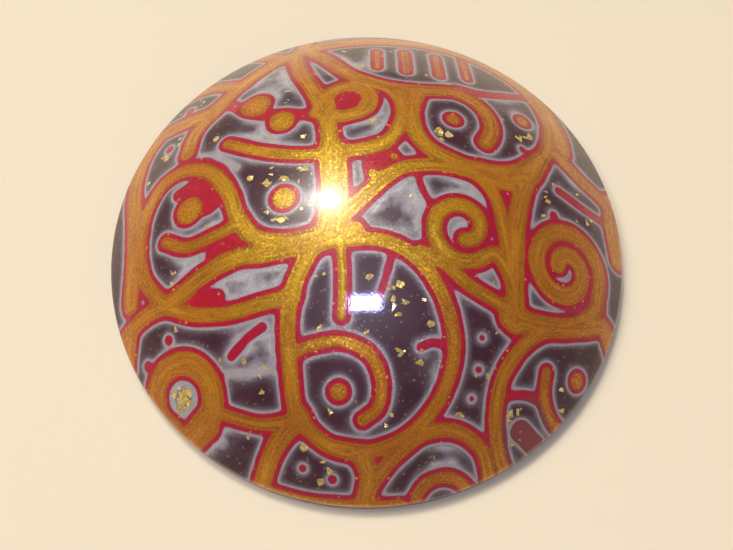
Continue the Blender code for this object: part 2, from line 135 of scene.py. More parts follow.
# Layer the stroke is filled up to, half width of that layer, path on the sheet.
NETWORK_STROKES = [
    # The hub near the crown.
    (GOLD, 1.1, [(-3, -2.4), (-2.6, 0.8), (-2.8, 5.4)]),
    (GOLD, 0.8, [(-1, -2.2), (-3.4, -2.8), (-5.6, -3.2)]),
    # Bands that leave the hub upwards, with the crescent, the finger and the curl.
    (GOLD, 0.75, [(-2.9, 3.6), (-3.3, 8.2), (-4.4, 12), (-6.2, 16.4), (-7.2, 20.4)]),
    (GOLD, 0.6, [(-2.6, -1.8), (0.2, 1.2), (2.6, 3.4), (5.4, 4.1), (8.6, 3.9)]),
    (GOLD, 0.65, [(-2.8, 5.2), (-0.6, 5.4), (1.8, 6.4), (3, 8.8), (3, 11.2), (2.2, 12.8)]),
    (GOLD, 0.5, [(-2.8, 5), (-6, 5.2), (-9.2, 6.1), (-12.3, 7.7)]),
    (GOLD, 0.7, [(-4.2, 9.8), (-2.2, 9.2)] + arc(-1.6, 11.3, 1.95, -85, 205)),
    # Bands round the upper cells.
    (GOLD, 0.72, [(-6.4, 21.6), (-4, 18.6), (-1.6, 15.2), (1.4, 13.4), (4.4, 12.9)]
     + arc(7.4, 9.6, 3.75, 90, -20) + [(10.4, 7.3)]),
    (GOLD, 0.75, [(4.6, 12.8), (3.9, 9.8), (4.4, 7), (6.2, 5.2), (9.6, 4.2), (13.2, 4.9),
                  (16.4, 7.8), (17.6, 11.4), (17.4, 14), (16.6, 16.6)]),
    (GOLD, 1.0, [(9.6, 4), (12.4, 3.6), (14.6, 5.2)]),
    (GOLD, 0.75, [(-16.5, 8), (-16, 10.6), (-13.8, 13.6)]),
    (GOLD, 0.85, [(-15, 12.6), (-12.6, 15.4), (-9.8, 18.6), (-6.6, 21.2), (-2.6, 22.6)]),
    (GOLD, 1.1, [(-4.6, 22.2), (-2.6, 22.6), (3, 23.2), (9, 22.6), (14, 20), (17.2, 16.4),
                 (18.6, 12.6), (18.6, 9.6)]),
    (RED, 0.55, [(8.4, 14.2), (11.4, 14.2), (15, 15.6)]),
    # The left loop and the bands below it.
    (GOLD, 0.7, [(-3.6, -2.6), (-6.8, -2.9), (-9.2, -2.2), (-10.8, -0.2), (-11.8, 2.4),
                 (-13.6, 4.8), (-16.4, 5.9), (-19, 5), (-20.5, 2.4), (-20.9, -1), (-20.2, -4.2),
                 (-18.2, -6.6)]),
    (GOLD, 0.75, [(-3.4, -3), (-7.6, -3.7), (-11, -3.9), (-14, -5), (-17, -6.6), (-20.4, -7.6),
                  (-23.4, -9.4)]),
    (GOLD, 0.5, [(-10.6, -0.8), (-13, -1.6), (-15.6, -2.1), (-17.9, -1.1)]),
    (GOLD, 0.6, [(-18, -7), (-14.8, -8.2), (-11.4, -8.4), (-8.6, -7.9), (-6, -7.4)]),
    # The ring below the hub, with its spike and its inner curl.
    (GOLD, 0.55, [(-2.4, -2.9), (1.8, -3.2), (4.8, -5.2), (6.6, -8.4), (7.2, -12), (6.2, -15.6),
                  (3.8, -18.6), (0.4, -20.1), (-2.2, -20)]),
    (GOLD, 0.65, [(-3.6, -2.2), (-5.6, -6), (-6.4, -9.4), (-6.3, -13.4), (-5.8, -17),
                  (-3.6, -19.4), (-1.2, -20.2)]),
    (GOLD, 0.35, [(-2.2, -2), (-1.9, -6.2), (-2, -9.2)]),
    (GOLD, 0.45, [(-6, -12), (-4.2, -11.4), (-2, -11.2), (0.2, -12.2), (1.2, -14.2), (1, -16.4),
                  (-0.3, -17.5)]),
    (RED, 0.35, [(6.4, -11.4), (5.4, -11.2), (4.4, -11.6)]),
    (RED, 0.3, [(2, -4.4), (1.5, -6.2), (1, -7.8)]),
    # The spiral right of the hub.
    (GOLD, 0.65, [(12.2, -5.4), (10.9, -3.6)] + spiral(7.9, -1.5, 3.1, 1.1, -45, -440)),
    (GOLD, 0.6, [(9.4, 3.8), (10.9, 1.6), (11.5, -1.2), (12, -4.4)]),
    (RED, 0.3, [(5.6, -0.2), (4.6, 1.6), (4.2, 3.2)]),
    (GOLD, 0.55, [(4.4, -3.9), (6.4, -4.8), (8.6, -6.5), (12.8, -8.4)]),
    # The right trunk, the large spiral and the bands that reach the right rim.
    (GOLD, 0.85, [(15.6, 6.6), (13.8, 3.4), (12.8, -0.4), (12.5, -4.4), (12.6, -9.2)]),
    (GOLD, 0.9, [(12, -8.7), (16, -9.1), (19.4, -8.6), (22.2, -8.2), (23.8, -10.4)]),
    (GOLD, 0.8, [(19.4, -8.4), (21.2, -6.6)] + spiral(17.6, -3.7, 4.2, 0.9, -25, 520)),
    (GOLD, 0.7, [(17.6, 8.6), (20.4, 6.4), (23.6, 4.8)]),
    (RED, 0.45, [(17.4, 4), (20, 3), (22.6, 2.4)]),
    (GOLD, 1.0, [(24.4, 5.4), (23.9, 2.6), (24.4, -1)]),
    # The lower right cells.
    (GOLD, 0.6, [(15.4, -9.4), (13.2, -11.2), (11.6, -13.8), (11.2, -17), (11.8, -20),
                 (13, -22.4)]),
    (RED, 0.45, [(12.2, -15.2), (14, -15.1), (16, -15.6)]),
    # The lower rim.
    (GOLD, 0.6, [(0.2, -23.4), (2.4, -20.6), (5, -18.6), (7.8, -18.4), (10.2, -20), (11.4, -23)]),
    (GOLD, 0.8, [(-5.6, -17.2), (-8, -19.8), (-9.8, -23.6)]),
    (GOLD, 0.7, [(-8.8, -24), (-5, -24.9), (-0.6, -25.2), (3, -25.2)]),
    (GOLD, 0.8, [(-0.4, -20.4), (0.2, -22.4), (-0.2, -24.8)]),
    (GOLD, 0.5, [(-6.6, -17.6), (-9.4, -17.7), (-13.2, -16.6)]),
    # The coiled disc at the lower left, and the band that joins it to the rim.
    (GOLD, 1.05, arc(-16.5, -15.2, 3.05, -50, 240)),
    (GOLD, 1.3, [(-19.4, -18), (-17, -19.2), (-14.4, -17.6)]),
    (GOLD, 0.8, [(-22.2, -9.2), (-22.8, -11.8)]),
    # Bands along the left and the upper rim.
    (GOLD, 0.95, [(-22, -6), (-21.7, -2), (-22, 2), (-22.7, 6), (-22.3, 9.6), (-20.6, 12.4),
                  (-17.6, 12.8), (-14.6, 12.8)]),
    (GOLD, 0.75, [(-18.6, 18), (-15.6, 17.8), (-12.4, 16.2)]),
    (GOLD, 0.75, [(-11.6, 22.8), (-8.6, 20.6)]),
    (GOLD, 0.8, [(-6.4, 22), (-6.4, 24.8)]),
    # Patches where red or pearl shows.
    (RED, 1.3, [(-14.2, 3.2), (-13.8, 1.8)]),
    (RED, 0.7, [(-16.8, 3.4), (-15.4, 3.8)]),
    (RED, 0.7, [(-10.8, -2.4), (-13, -3.2)]),
    (RED, 0.8, [(-15.2, -6.8), (-12.6, -7)]),
    (RED, 0.95, [(0.6, 3.7), (1.5, 5)]),
    (RED, 1.0, [(-1.9, 11.5), (-1.3, 11.2)]),
    (RED, 0.7, [(-12.6, 13), (-9.6, 10.6), (-7.4, 10.2), (-5, 9.6)]),
    (PEARL, 0.5, [(-16, 7.4), (-13.2, 6.2), (-11.2, 4.8)]),
    (PEARL, 0.45, [(-12, -13.4), (-9.6, -13.4), (-7.8, -13.2)]),
]

# Imprint, layer it is filled up to, half width, path (one point for a dot).
IMPRINTS = [
    ("hub_dot", GOLD, 0.95, [(-6.8, 1)]),
    ("loop_dot", GOLD, 1.25, [(-15.6, 1.4)]),
    ("twin_dot_upper", GOLD, 1.35, [(-10, 12)]),
    ("twin_dot_lower", GOLD, 1.1, [(-7.4, 9.2)]),
    ("drop_cell_dot", GOLD, 0.6, [(7.6, 9.5)]),
    ("drop_cell_side_dot", GOLD, 0.6, [(14.6, 11.5)]),
    ("ring_cell_dot", GOLD, 0.7, [(-2.3, -15.2)]),
    ("lower_right_dot", GOLD, 0.7, [(19.4, -13.4)]),
    ("rim_hook", GOLD, 0.45, [(15.9, -13), (15.9, -15), (17, -17.2), (19.4, -18.8)]),
    ("rim_arch", GOLD, 0.5, arc(7, -25, 2.6, 165, 15)),
    ("rim_patch", RED, 1.0, [(13.8, -18.2), (15.4, -19.4)]),
    ("lower_left_bar", RED, 0.4, [(-11.4, -12), (-10, -10.7), (-8.6, -9.8)]),
    ("top_cell_stroke_1", GOLD, 0.2, [(1, 20), (1, 16.4)]),
    ("top_cell_stroke_2", GOLD, 0.3, [(3.7, 20.2), (3.7, 16)]),
    ("top_cell_stroke_3", GOLD, 0.25, [(6.8, 20), (6.8, 15.8)]),
    ("top_cell_stroke_4", GOLD, 0.2, [(9.6, 20.4), (9.6, 16.2)]),
    ("hub_patch_speck_1", GOLD, 0.3, [(0.5, 2.9)]),
    ("hub_patch_speck_2", GOLD, 0.25, [(2.3, 4.7)]),
    ("drop_cell_speck", RED, 0.35, [(14, 7.6)]),
    ("left_cell_speck", RED, 0.45, [(-18.9, 9.6)]),
    ("oval_cell_speck", RED, 0.5, [(-17.6, 14.8)]),
    ("lower_left_speck_1", RED, 0.45, [(-17.6, -10)]),
    ("lower_left_speck_2", RED, 0.5, [(-20.2, -12)]),
    ("star_cell_speck_1", RED, 0.25, [(9.6, -10.6)]),
    ("star_cell_speck_2", RED, 0.3, [(9.4, -13.2)]),
    ("star_cell_speck_3", RED, 0.25, [(8.9, -15.6)]),
    ("bottom_cell_speck_1", RED, 0.35, [(-5.6, -21.6)]),
    ("bottom_cell_speck_2", RED, 0.4, [(-3, -22.6)]),
    ("left_rim_speck", RED, 0.4, [(-22.3, -6.6)]),
    ("right_cell_speck", RED, 0.45, [(16.6, 1.2)]),
]

# Places where the pearl fades far into the dark ground: x, y, radius, reach of the fade.
MILKY_PLACES = [
    (-8, 15, 2.6, 1.6), (-8.5, 7.8, 3.2, 0.9), (-12.6, 6.4, 2.4, 0.7),
    (0.2, 8.6, 2.2, 0.8), (3, 0.2, 2.4, 1.7), (8.6, 1.8, 2.2, 1.1), (7.9, -1.6, 1.2, 1),
    (-13.2, -1.4, 2, 0.8), (-15.5, -3.6, 2, 0.8), (-9.4, -11.8, 2.6, 1),
    (-16.5, -15.2, 1.6, 1.2), (-13.5, -19.5, 2.4, 0.8), (-4.4, -4.8, 1.4, 0.5),
    (-1.6, 17.6, 2.4, 0.9), (13.4, 13.4, 1.8, 0.6), (19.6, 6.4, 1.8, 1),
    (9.6, -4.6, 1.6, 0.7), (4.8, -13.4, 1.6, 0.6), (6.8, -21.2, 2, 0.8),
    (-9.6, -5.9, 2.6, 1.7), (-19, 8, 1.6, 0.5), (-4.4, 0.6, 1.2, 0.6), (18, 0.6, 1.6, 0.5),
]
SHORT_FADE = 0.10
MILKY_FROM, MILKY_FULL = 0.2, 0.7

# Clusters of metal leaf: x, y, spread, how many flecks.
LEAF_CLUSTERS = [
    (-8, 3.2, 0.7, 5), (-5.6, 3.2, 0.8, 6), (-4.6, 0.4, 0.7, 6), (-6.6, -0.9, 0.8, 5),
    (0.6, 8, 0.9, 6), (2, -7.5, 0.8, 8), (3, -11.8, 0.6, 3), (1.8, -17, 0.8, 4),
    (6.4, 7.2, 0.6, 4), (12.4, 10.6, 0.5, 3), (5.5, 11.2, 0.6, 4), (14.2, 9, 0.5, 3),
    (4.6, 0.6, 0.9, 6), (13.8, -5.9, 0.5, 3), (16, 3.6, 0.7, 4), (12.8, -16.2, 0.6, 4),
    (-0.3, 16.6, 0.5, 4), (4.8, -20.2, 0.7, 4), (-16.5, -15.2, 0.6, 30), (-17.2, -4.4, 0.8, 5),
    (9.2, -13, 0.5, 3), (-19, 8.4, 0.5, 3), (-16.9, 15.4, 0.6, 4), (15.4, 0.4, 0.6, 4),
    (16.4, -10.6, 0.6, 3), (18, -15, 0.8, 4), (-12.8, 6.9, 0.4, 2), (19.5, 1.4, 0.8, 5),
    (-9, -13.6, 0.7, 4), (-12.4, -12.4, 0.6, 3), (-3.8, -21.8, 0.9, 4), (10.6, 16.8, 0.8, 3),
    (2.2, 17.6, 0.6, 3), (21.8, -4, 0.8, 5), (-6, 14.8, 0.4, 2), (4.2, -5.4, 0.6, 3),
    (-3.8, -5.4, 0.4, 3), (-20, -13.6, 0.7, 3), (8, -17, 0.5, 2), (5.8, 17.4, 0.6, 3),
]
SCATTERED_LEAF = 120
LEAF_SEED = 7
LEAF_SIZES = (0.20, 0.62)
LEAF_TILT = 0.14
LEAF_START_OVERLAP = 0.15
LEAF_OVERLAP = 0.36
LEAF_RIM_GAP = 0.8
LEAF_RISE = 0.006
LEAF_DEPTH = 0.02


# ---- the sheet and the dome

def smooth_path(points):
    """A Catmull-Rom curve through the points, as an array of closely spaced points."""
    corners = np.array(points, float)
    if len(corners) < 2:
        return corners
    knots = np.vstack([2 * corners[0] - corners[1], corners, 2 * corners[-1] - corners[-2]])
    path = []
    for a, b, c, d in zip(knots, knots[1:], knots[2:], knots[3:]):
        steps = max(1, round(float(np.hypot(*(c - b))) / STROKE_STEP))
        for i in range(steps):
            t = i / steps
            path.append(0.5 * (2 * b + (c - a) * t + (2 * a - 5 * b + 4 * c - d) * t ** 2
                               + (3 * b - a - 3 * c + d) * t ** 3))
    path.append(corners[-1])
    return np.array(path)


def distance_to(path, points):
    """Distance from each sheet point to a path, or FIELD_FAR where the path is far off."""
    nearest = np.full(len(points), FIELD_FAR)
    low, high = path.min(0) - FIELD_FAR, path.max(0) + FIELD_FAR
    near = np.flatnonzero(np.all((points > low) & (points < high), axis=1))
    local = points[near]
    for a, b in zip(path, path[1:] if len(path) > 1 else path):
        low, high = np.minimum(a, b) - STROKE_REACH, np.maximum(a, b) + STROKE_REACH
        close = np.all((local > low) & (local < high), axis=1)
        along = b - a
        offset = local[close] - a
        part = np.clip(offset @ along / max(along @ along, 1e-12), 0.0, 1.0)
        gap = offset - part[:, None] * along
        here = near[close]
        nearest[here] = np.minimum(nearest[here], np.hypot(gap[:, 0], gap[:, 1]))
    return nearest


def pattern_field(points):
    """The field of all strokes, blended so that neighbours flow into one another.

    The edge of a stroke's layer lies half_width from its path, and no layer inside it shows.
    """
    total = np.zeros(len(points))
    for layer, half_width, path in NETWORK_STROKES + [imprint[1:] for imprint in IMPRINTS]:
        value = distance_to(smooth_path(path), points) - half_width + LAYER_EDGES[layer]
        total += np.exp(-np.maximum(value, LOWEST_FIELD[layer]) / FIELD_BLEND)
    return -FIELD_BLEND * np.log(total)


def ripple(points, wavelength, seed):
    """A smooth, even unevenness over the sheet, between about -1 and 1."""
    draw = np.random.default_rng(seed)
    waves = 7
    turns = draw.uniform(0, 2 * pi, waves)
    lengths = wavelength * draw.uniform(0.7, 1.5, waves)
    shifts = draw.uniform(0, 2 * pi, waves)
    value = np.zeros(len(points))
    for turn, length, shift in zip(turns, lengths, shifts):
        along = points[:, 0] * cos(turn) + points[:, 1] * sin(turn)
        value += np.sin(2 * pi * along / length + shift)
    return value / sqrt(waves) / 1.4


SPHERE_HEIGHT = TOTAL_HEIGHT - DOME_BASE - EDGE_RISE
SPHERE_RADIUS = (RADIUS ** 2 + SPHERE_HEIGHT ** 2) / (2 * SPHERE_HEIGHT)
SPHERE_CENTRE = TOTAL_HEIGHT - SPHERE_RADIUS
EDGE_START = asin((RADIUS - EDGE_RADIUS) / (SPHERE_RADIUS - EDGE_RADIUS))
EDGE_CENTRE = SPHERE_CENTRE + (SPHERE_RADIUS - EDGE_RADIUS) * cos(EDGE_START)
SPHERE_LENGTH = SPHERE_RADIUS * EDGE_START
EDGE_LENGTH = EDGE_RADIUS * (pi / 2 - EDGE_START)
SIDE_LENGTH = EDGE_CENTRE - DOME_BASE
SECTION_LENGTH = SPHERE_LENGTH + EDGE_LENGTH + SIDE_LENGTH


def dome_section(distance):
    """Radius, height and tilt of the surface at sheet distances from the crown."""
    run = distance * SECTION_LENGTH / SHEET_RADIUS
    on_sphere = np.minimum(run, SPHERE_LENGTH) / SPHERE_RADIUS
    on_edge = EDGE_START + np.clip(run - SPHERE_LENGTH, 0.0, EDGE_LENGTH) / EDGE_RADIUS
    on_side = np.clip(run - SPHERE_LENGTH - EDGE_LENGTH, 0.0, None)
    past_sphere = run > SPHERE_LENGTH
    tilt = np.where(past_sphere, on_edge, on_sphere)
    radius = np.where(past_sphere, RADIUS - EDGE_RADIUS + EDGE_RADIUS * np.sin(on_edge),
                      SPHERE_RADIUS * np.sin(on_sphere))
    height = np.where(past_sphere, EDGE_CENTRE + EDGE_RADIUS * np.cos(on_edge) - on_side,
                      SPHERE_CENTRE + SPHERE_RADIUS * np.cos(on_sphere))
    return radius, height, tilt


def on_dome(points, depth=0.0):
    """Places in metres of sheet points that lie some depth below the polished surface."""
    distance = np.hypot(points[:, 0], points[:, 1])
    radius, height, tilt = dome_section(distance)
    inside = np.clip((SHEET_RADIUS - distance) / WORN_FROM_RIM, 0, 1)
    below = depth + WEAR * (1 + ripple(points, 11.0, 3)) * inside
    across = radius - below * np.sin(tilt)
    height = height - below * np.cos(tilt)
    unit = points / np.maximum(distance, 1e-9)[:, None]
    return np.column_stack([unit[:, 0] * across, unit[:, 1] * across, height]) * MM


def surface_normals(points):
    """Unit normals of the polished surface at sheet points."""
    step = 0.02
    ahead_x = on_dome(points + (step, 0.0)) - on_dome(points - (step, 0.0))
    ahead_y = on_dome(points + (0.0, step)) - on_dome(points - (0.0, step))
    normal = np.cross(ahead_x, ahead_y)
    return normal / np.linalg.norm(normal, axis=1)[:, None]


# ---- the net and its cuts

def ring_net(rings, outer):
    """Sheet points in rings of 6, 12, 18 ... round a middle one, and the triangles between."""
    points = [np.zeros((1, 2))]
    for ring in range(1, rings + 1):
        angle = 2 * pi * np.arange(6 * ring) / (6 * ring)
        radius = outer * ring / rings
        points.append(np.column_stack([radius * np.cos(angle), radius * np.sin(angle)]))
    first = [0] + [1 + 3 * ring * (ring - 1) for ring in range(1, rings + 2)]
    triangles = []
    for ring in range(1, rings + 1):
        inner_count = max(1, 6 * (ring - 1))
        outer_count = 6 * ring
        for sector in range(6):
            for step in range(ring):
                a = first[ring] + (sector * ring + step) % outer_count
                b = first[ring] + (sector * ring + step + 1) % outer_count
                c = first[ring - 1] + (sector * (ring - 1) + step) % inner_count
                triangles.append((c, a, b))
                if step < ring - 1:
                    d = first[ring - 1] + (sector * (ring - 1) + step + 1) % inner_count
                    triangles.append((c, b, d))
    return np.vstack(points), np.array(triangles)


def cut_along(values, level_column, triangles):
    """Splits the triangles where one column of the point values crosses zero.

    The values hold one row per point, and new points take the mean of their edge's ends,
    weighted so that the column is zero there.
    """
    level = values[:, level_column].copy()
    side = np.sign(level[triangles])
    crossed = (side.min(1) < 0) & (side.max(1) > 0)
    kept = triangles[~crossed]
    work = triangles[crossed]
    side = side[crossed]
    # The lone corner goes first: a corner on the edge, or the one with its own sign.
    on_edge = side == 0
    product = side.sum(1)
    own_sign = (side == -np.sign(product)[:, None]).argmax(1)
    lone = np.where(on_edge.any(1), on_edge.argmax(1), own_sign)
    turn = (lone[:, None] + np.arange(3)) % 3
    work = np.take_along_axis(work, turn, 1)
    through_corner = on_edge.any(1)

    edges = np.vstack([work[through_corner][:, [1, 2]],
                       work[~through_corner][:, [0, 1]], work[~through_corner][:, [0, 2]]])
    edges.sort(axis=1)
    unique, index = np.unique(edges, axis=0, return_inverse=True)
    index = index.reshape(-1)
    low, high = level[unique[:, 0]], level[unique[:, 1]]
    part = (low / (low - high))[:, None]
    added = values[unique[:, 0]] * (1 - part) + values[unique[:, 1]] * part
    added[:, level_column] = 0.0
    start = len(values)
    values = np.vstack([values, added])

    count = int(through_corner.sum())
    rest = len(work) - count
    middle = start + index[:count]
    first = start + index[count:count + rest]
    second = start + index[count + rest:]
    corner = work[through_corner]
    plain = work[~through_corner]
    pieces = [
        kept,
        np.column_stack([corner[:, 0], corner[:, 1], middle]),
        np.column_stack([corner[:, 0], middle, corner[:, 2]]),
        np.column_stack([plain[:, 0], first, second]),
        np.column_stack([first, plain[:, 1], plain[:, 2]]),
        np.column_stack([first, plain[:, 2], second]),
    ]
    return values, np.vstack(pieces)


def make_net():
    """The net's points, one row of columns each, and its triangles."""
    points, triangles = ring_net(NET_RINGS, SHEET_RADIUS)
    field = pattern_field(points)
    wander = WANDER * ripple(points, 2.6, 11)
    edges = [
        field + wander - GOLD_EDGE,
        field + wander + WANDER * ripple(points, 1.9, 12) - RED_EDGE,
        field + wander + PEARL_WANDER * ripple(points, 2.3, 13) - PEARL_EDGE,
    ]
    values = np.column_stack([points, field] + edges)
    for column in (GOLD_COLUMN, RED_COLUMN, PEARL_COLUMN):
        # Points that lie close to the edge are put on it, which avoids slivers.
        values[np.abs(values[:, column]) < SNAP_REACH, column] = 0.0
        values, triangles = cut_along(values, column, triangles)
    return values, triangles


def components(triangles, count):
    """A label per point: points that triangles link share one."""
    label = np.arange(count)
    while True:
        lowest = label[triangles].min(1)
        updated = label.copy()
        for corner in range(3):
            np.minimum.at(updated, triangles[:, corner], lowest)
        updated = updated[updated]
        if np.array_equal(updated, label):
            return label
        label = updated


# ---- solids

def linked_object(name, data):
    """A new object of the scene."""
    obj = bpy.data.objects.new(name, data)
    bpy.context.scene.collection.objects.link(obj)
    return obj


def build_object(name, places, faces, attributes, normals=None, sharp=40):
    """A mesh object with point attributes and, for some points, given normals."""
    mesh = bpy.data.meshes.new(name)
    mesh.vertices.add(len(places))
    mesh.vertices.foreach_set("co", np.ascontiguousarray(places, np.float32).ravel())
    mesh.loops.add(len(faces) * 3)
    mesh.loops.foreach_set("vertex_index", np.ascontiguousarray(faces, np.int32).ravel())
    mesh.polygons.add(len(faces))
    mesh.polygons.foreach_set("loop_start", np.arange(0, len(faces) * 3, 3, dtype=np.int32))
    mesh.update(calc_edges=True)
    mesh.validate()
    for key, data in attributes.items():
        layer = mesh.attributes.new(key, "FLOAT", "POINT")
        layer.data.foreach_set("value", np.ascontiguousarray(data, np.float32))
    mesh.shade_smooth()
    mesh.set_sharp_from_angle(angle=radians(sharp))
    if normals is not None:
        mesh.normals_split_custom_set(normals)
    return linked_object(name, mesh)


def boundary_edges(triangles):
    """The directed edges that only one triangle has."""
    edges = np.vstack([triangles[:, [0, 1]], triangles[:, [1, 2]], triangles[:, [2, 0]]])
    key = np.sort(edges, axis=1)
    _, index, count = np.unique(key, axis=0, return_index=True, return_counts=True)
    return edges[index[count == 1]]


def poke_flat(values, triangles, edge_column):
    """Adds a middle point to triangles whose corners all lie on the layer's edge."""
    flat = np.all(values[triangles][:, :, edge_column] > -ON_EDGE, axis=1)
    corners = triangles[flat]
    middle = values[corners].mean(1)
    middle[:, edge_column] = POKED_LEVEL
    index = len(values) + np.arange(len(corners))
    values = np.vstack([values, middle])
    split = [np.column_stack([corners[:, i], corners[:, (i + 1) % 3], index]) for i in range(3)]
    return values, np.vstack([triangles[~flat]] + split)


def depth_below(values, column, extra=0.0):
    """How deep a layer's groove lies at each point: it deepens evenly from its edge."""
    distance = np.hypot(values[:, 0], values[:, 1])
    depth = np.clip(-values[:, column], 0.0, None) * (GROOVE_SLOPE + extra)
    return np.minimum(depth, RIM_DEPTH + np.clip(SHEET_RADIUS - distance, 0.0, None))


def polished_normals(points, triangles, depth, face_count):
    """Corner normals: the dome's own on flush triangles, and zero, for plain ones, elsewhere."""
    normals = np.zeros((face_count * 3, 3))
    corner = triangles.ravel()
    flush = (depth[triangles] < ON_EDGE).all(1).repeat(3)
    normals[:len(corner)][flush] = surface_normals(points)[corner[flush]]
    return normals


def layer_solid(name, values, triangles, depth_column, inner_column):
    """A closed solid of one layer: its top, with the groove for the next layer, and its floor."""
    used, triangles = np.unique(triangles, return_inverse=True)
    values, triangles = poke_flat(values[used], triangles.reshape(-1, 3), depth_column)
    points = values[:, :2]
    if inner_column is None:
        top_depth = np.zeros(len(points))
    else:
        top_depth = depth_below(values, inner_column, LAYER_CLEARANCE)
    floor_depth = np.maximum(depth_below(values, depth_column), top_depth)
    rim = boundary_edges(triangles)
    on_rim = np.zeros(len(points), bool)
    on_rim[rim.ravel()] = True
    open_rim = on_rim & (values[:, depth_column] < -ON_EDGE)
    shared = on_rim & ~open_rim
    top = on_dome(points, top_depth)
    floor_points = np.flatnonzero(~shared)
    floor_index = np.arange(len(points))
    floor_index[floor_points] = len(points) + np.arange(len(floor_points))
    floor = on_dome(points[floor_points], floor_depth[floor_points] + FLOOR_DROP)
    faces = [triangles, floor_index[triangles][:, ::-1]]
    outer = rim[open_rim[rim].any(1)]
    if len(outer):
        a, b = outer[:, 0], outer[:, 1]
        walls = np.vstack([np.column_stack([b, a, floor_index[a]]),
                           np.column_stack([b, floor_index[a], floor_index[b]])])
        proper = np.array([len(set(w)) == 3 for w in walls.tolist()])
        faces.append(walls[proper])
    faces = np.vstack(faces)
    field = values[:, FIELD_COLUMN]
    milky = haze_over(values)[1]
    attributes = {
        "field": np.concatenate([field, field[floor_points]]),
        "milky": np.concatenate([milky, milky[floor_points]]),
    }
    normals = polished_normals(points, triangles, top_depth, len(faces))
    return build_object(name, np.vstack([top, floor]), faces, attributes, normals)


def ground_solid(values, triangles):
    """The dark ground: its surface with all grooves, its edge, its base and its hollow."""
    depth = depth_below(values, PEARL_COLUMN, LAYER_CLEARANCE)
    points = values[:, :2]
    top = on_dome(points, depth)
    rim = boundary_edges(triangles)
    hollow_points, hollow_triangles = ring_net(HOLLOW_RINGS, 1.0)
    part = np.hypot(hollow_points[:, 0], hollow_points[:, 1])
    height = HOLLOW_TOP - DOME_BASE
    radius = (HOLLOW_RADIUS ** 2 + height ** 2) / (2 * height)
    opening = asin(HOLLOW_RADIUS / radius)
    unit = hollow_points / np.maximum(part, 1e-9)[:, None]
    across = radius * np.sin(opening * part)
    hollow = np.column_stack([unit * across[:, None],
                              HOLLOW_TOP - radius + radius * np.cos(opening * part)]) * MM
    start = len(top)
    ring_count = 6 * HOLLOW_RINGS
    ring_first = start + len(hollow) - ring_count
    rim_angle = np.arctan2(points[:, 1], points[:, 0]) % (2 * pi)
    slot_of = np.floor(rim_angle / (2 * pi) * ring_count + 0.5).astype(int) % ring_count
    base = []
    for a, b in rim.tolist():
        inner_a = ring_first + slot_of[a]
        inner_b = ring_first + slot_of[b]
        base.append((b, a, inner_a))
        if inner_a != inner_b:
            base.append((b, inner_a, inner_b))
    faces = np.vstack([triangles, start + hollow_triangles[:, ::-1], np.array(base)])
    blank = np.zeros(len(hollow))
    haze, milky = haze_over(values)
    attributes = {
        "haze": np.concatenate([haze, blank]),
        "milky": np.concatenate([milky, blank]),
    }
    normals = polished_normals(points, triangles, depth, len(faces))
    places = np.vstack([top, hollow])
    return build_object("dark_ground_fine", places, faces, attributes, normals)


def turned_solid(name, profile, segments, uneven):
    """A closed solid turned from its profile, given from the top middle to the bottom middle."""
    places = [(0.0, 0.0, profile[0][1])]
    angles = 2 * pi * np.arange(segments) / segments
    wobble = uneven * np.sin(angles * 3 + 1.0) + uneven * 0.6 * np.sin(angles * 7 + 2.2)
    for radius, height in profile[1:-1]:
        share = (radius / RADIUS) ** 8
        reach = radius + (wobble - uneven * 1.6) * share
        places += list(zip(reach * np.cos(angles), reach * np.sin(angles), [height] * segments))
    places.append((0.0, 0.0, profile[-1][1]))
    rows = len(profile) - 2
    faces = []
    for i in range(segments):
        j = (i + 1) % segments
        faces.append((0, 1 + i, 1 + j))
        for row in range(rows - 1):
            a, b = 1 + row * segments + i, 1 + row * segments + j
            c, d = a + segments, b + segments
            faces += [(a, c, d), (a, d, b)]
        last = 1 + (rows - 1) * segments
        faces.append((last + j, last + i, len(places) - 1))
    return build_object(name, np.array(places) * MM, np.array(faces), {}, sharp=50)


# ---- materials

PEARL_COLOUR = (0.44, 0.425, 0.445)
PEARL_EDGE_COLOUR = (0.115, 0.085, 0.110)
DARK_COLOUR = (0.044, 0.0115, 0.022)
COAT_ROUGHNESS = 0.03
POLISH_BUMP = 0.0035 * MM
# Where the key light's highlight falls on the gold: the middle of the gold's painted sheen.
KEY_SHEEN_PLACE = (-3.0, -0.5, TOTAL_HEIGHT)
THIN_RED_PLACE = (13.2, -17.0, 3.0)


def plug(tree, socket, value):
    """Links an output to an input, or sets the input to a plain value."""
    if isinstance(value, bpy.types.NodeSocket):
        tree.links.new(value, socket)
    else:
        socket.default_value = value


def feed(tree, node, **inputs):
    """Fills a node's inputs, named with _ for a space."""
    for key, value in inputs.items():
        plug(tree, node.inputs[key.replace("_", " ")], value)


def add_node(tree, kind, settings=None, **inputs):
    """A shader node; inputs are values or the outputs that feed them."""
    made = tree.nodes.new("ShaderNode" + kind)
    for key, value in (settings or {}).items():
        setattr(made, key, value)
    feed(tree, made, **inputs)
    return made


def maths(tree, operation, first, second=0.0):
    """One arithmetic step."""
    made = add_node(tree, "Math", {"operation": operation})
    for socket, value in zip(made.inputs, (first, second)):
        plug(tree, socket, value)
    return made.outputs["Value"]


def vector_maths(tree, operation, first, second=(0.0, 0.0, 0.0)):
    """One vector step; a distance or a dot product comes out as a number."""
    made = add_node(tree, "VectorMath", {"operation": operation})
    plug(tree, made.inputs[0], first)
    plug(tree, made.inputs[1], second)
    number = operation in ("DISTANCE", "DOT_PRODUCT")
    return made.outputs["Value" if number else "Vector"]


def scaled(tree, vector, factor):
    """A vector times a number."""
    made = add_node(tree, "VectorMath", {"operation": "SCALE"}, Vector=vector, Scale=factor)
    return made.outputs["Vector"]


